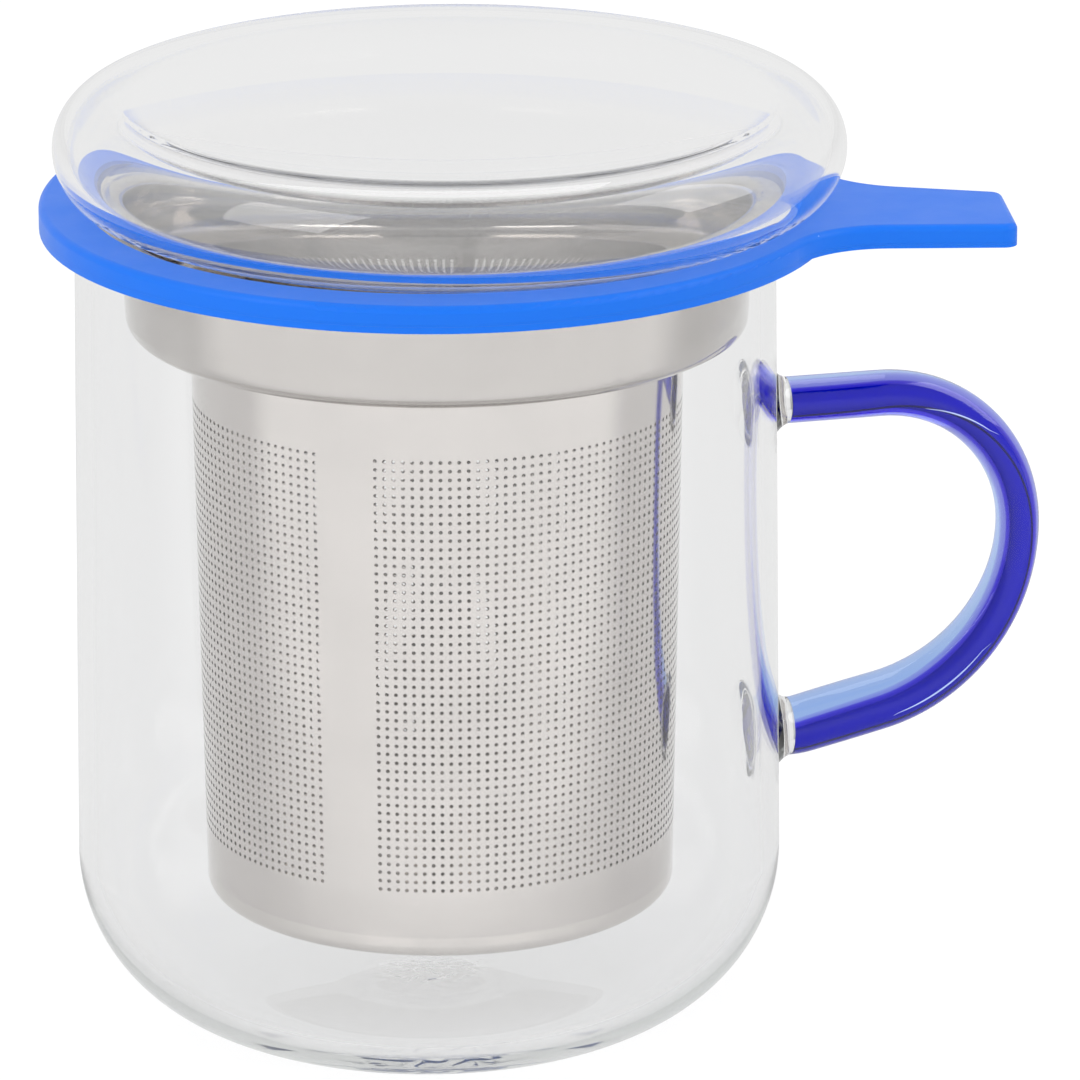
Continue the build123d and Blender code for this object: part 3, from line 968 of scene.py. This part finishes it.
# where each fades in and where it is full, as the cosine of the angle from its middle
DARK_EDGE, CEILING_EDGE, PANEL_EDGE = (0.55, 0.80), (0.75, 0.95), (0.955, 0.967)
LID_SKINS = 5.5  # more crossings than this, and light has been through the lid
scene = bpy.context.scene
world = bpy.data.worlds.new("studio")
scene.world = world
world.use_nodes = True
tree = world.node_tree
background = tree.nodes["Background"]
path = add_node(tree, "ShaderNodeLightPath").outputs
direction = add_node(tree, "ShaderNodeTexCoord").outputs["Generated"]
up = add_node(tree, "ShaderNodeSeparateXYZ", {"Vector": direction}).outputs["Z"]
ahead = vector_maths(tree, "DOT_PRODUCT", direction, FRONT)
through_lid = maths(tree, "GREATER_THAN", path["Transmission Depth"], LID_SKINS)
mirrored = maths(tree, "GREATER_THAN", path["Glossy Depth"], 0.5)
mirrored_twice = maths(tree, "GREATER_THAN", path["Glossy Depth"], 1.5)
deep = maths(tree, "MULTIPLY", through_lid, mirrored)
inside = maths(tree, "MAXIMUM", deep, mirrored_twice)
dark = maths(tree, "MULTIPLY", spread(tree, ahead, 0.0, 1.0, *DARK_EDGE), inside)
shade = blend(tree, dark, WALL_GREY, BEHIND_CAMERA)
shade = blend(tree, spread(tree, up, 0.0, 1.0, *CEILING_EDGE), shade, CEILING_GREY)
for panel in PANELS:
    near = vector_maths(tree, "DOT_PRODUCT", direction, panel)
    lit_up = maths(tree, "MULTIPLY", spread(tree, near, 0.0, 1.0, *PANEL_EDGE), deep)
    shade = blend(tree, lit_up, shade, PANEL_WHITE)
seen = blend(tree, path["Is Camera Ray"], shade, (1, 1, 1, 1))
tree.links.new(seen, background.inputs["Color"])
background.inputs["Strength"].default_value = 1.0
print("surround: white, with a dark end and", len(PANELS), "panels")

# %% [markdown]
# The floor is one sheet of paper. The steel tube mirrors the part of it in
# front of the mug, and there it glows brighter, from a few centimetres before
# the mug's middle on, and sooner to the sides: a painted pool of light. Most
# of its light is its own, so that it stays white, and a fifth is real paper in
# lamp light, which holds the mug's soft shadow.

# %% The floor
FLOOR_HALF, FLOOR_DROP = 3000.0, 0.15
FLOOR_GREY, PAINTED_FRONT_LIGHT = (0.765, 0.765, 0.765, 1), (1.23, 1.23, 1.23, 1)
PLAIN_WHITE = (1.06, 1.06, 1.06, 1)  # what the camera sees
BRIGHT_FROM, BRIGHT_FULL, SIDE_LEAD = 0.025, 0.09, 0.15  # metres, metres, and metres per metre
OWN_LIGHT = 0.8
corners = np.array([(-1, -1, 0), (1, -1, 0), (1, 1, 0), (-1, 1, 0)]) * FLOOR_HALF
floor = make_object("floor", corners - (0, 0, FLOOR_DROP), [[0, 1, 2, 3]])
paper, tree, shader, output = new_material("white paper")
tree.nodes.remove(shader)
path = add_node(tree, "ShaderNodeLightPath").outputs
lit = add_node(tree, "ShaderNodeBsdfDiffuse", {"Color": (0.86, 0.86, 0.86, 1)})
glow = add_node(tree, "ShaderNodeEmission", {"Strength": 1.0})
where = add_node(tree, "ShaderNodeTexCoord").outputs["Object"]
forwards = vector_maths(tree, "DOT_PRODUCT", where, FRONT)
sideways = maths(tree, "ABSOLUTE", vector_maths(tree, "DOT_PRODUCT", where, ACROSS))
reach = maths(tree, "MULTIPLY_ADD", sideways, SIDE_LEAD, forwards)
# painted pool of light: the floor glows brighter in front of the mug, for glass and steel to mirror
bright = spread(tree, reach, 0.0, 1.0, BRIGHT_FROM, BRIGHT_FULL)
grey = blend(tree, bright, FLOOR_GREY, PAINTED_FRONT_LIGHT)
grey = blend(tree, path["Is Camera Ray"], grey, PLAIN_WHITE)
tree.links.new(grey, glow.inputs["Color"])
in_glass = maths(tree, "MAXIMUM", path["Is Glossy Ray"], path["Is Transmission Ray"])
flat = maths(tree, "MAXIMUM", path["Is Camera Ray"], in_glass)
mix = add_node(tree, "ShaderNodeMixShader", {"Fac": maths(tree, "MULTIPLY", flat, OWN_LIGHT)})
tree.links.new(lit.outputs[0], mix.inputs[1])
tree.links.new(glow.outputs[0], mix.inputs[2])
tree.links.new(mix.outputs[0], output.inputs["Surface"])
floor.data.materials.append(paper)

# %% [markdown]
# The soft boxes light the matt silicone, and lie as long highlights on the
# glass rod. Glass doesn't show them by what it bends, since that would tear
# white holes in its edges. The one at the camera only fills the shade under the
# ring, with no highlight of its own.

# %% Soft boxes


def soft_box(name, place_at, size, watts):
    """A square lamp that faces the middle of the mug."""
    data = bpy.data.lights.new(name, "AREA")
    data.shape, data.size, data.size_y = "RECTANGLE", size[0], size[1]
    data.energy = watts
    lamp = bpy.data.objects.new(name, data)
    scene.collection.objects.link(lamp)
    lamp.location = place_at
    aim = Vector((0, 0, 0.06)) - Vector(place_at)
    lamp.rotation_euler = aim.to_track_quat("-Z", "Y").to_euler()
    lamp.visible_transmission = False
    return lamp


soft_box("left box", (-0.95, -0.45, 0.75), (0.7, 0.9), 7.0)
soft_box("right box", (1.0, -0.35, 0.8), (0.6, 0.9), 6.0)
soft_box("top box", (0.0, 0.35, 1.25), (0.9, 0.6), 3.0)
fill = soft_box("front box", (-0.3, -1.3, 0.5), (0.8, 0.8), 5.0)
fill.visible_glossy = False

# %% The camera
# It stands almost a metre off with a long lens, turned a little to the right
# and looking down on the lid.
camera_data = bpy.data.cameras.new("camera")
camera = bpy.data.objects.new("camera", camera_data)
scene.collection.objects.link(camera)
scene.camera = camera
camera_data.sensor_width = 36.0
camera_data.lens = 252.14
camera_data.clip_start, camera_data.clip_end = 0.05, 20.0
turn_right, look_down, roll = np.radians((13.8946, 18.257, -0.09))
forward = Vector(
    (
        math.sin(turn_right) * math.cos(look_down),
        math.cos(turn_right) * math.cos(look_down),
        -math.sin(look_down),
    )
)
right = forward.cross(Vector((0, 0, 1))).normalized()
above = right.cross(forward)
tilted_right = right * math.cos(roll) + above * math.sin(roll)
tilted_up = above * math.cos(roll) - right * math.sin(roll)
axes = Matrix((tilted_right, tilted_up, -forward)).transposed()
camera.matrix_world = Matrix.Translation((-0.1915, -0.8297, 0.3385)) @ axes.to_4x4()
print("camera at", [round(c, 4) for c in camera.location])

# %% Light paths and colour
scene.view_settings.view_transform = "Standard"
scene.cycles.max_bounces = 96
scene.cycles.transmission_bounces = 64
scene.cycles.glossy_bounces = 64
scene.cycles.transparent_max_bounces = 24
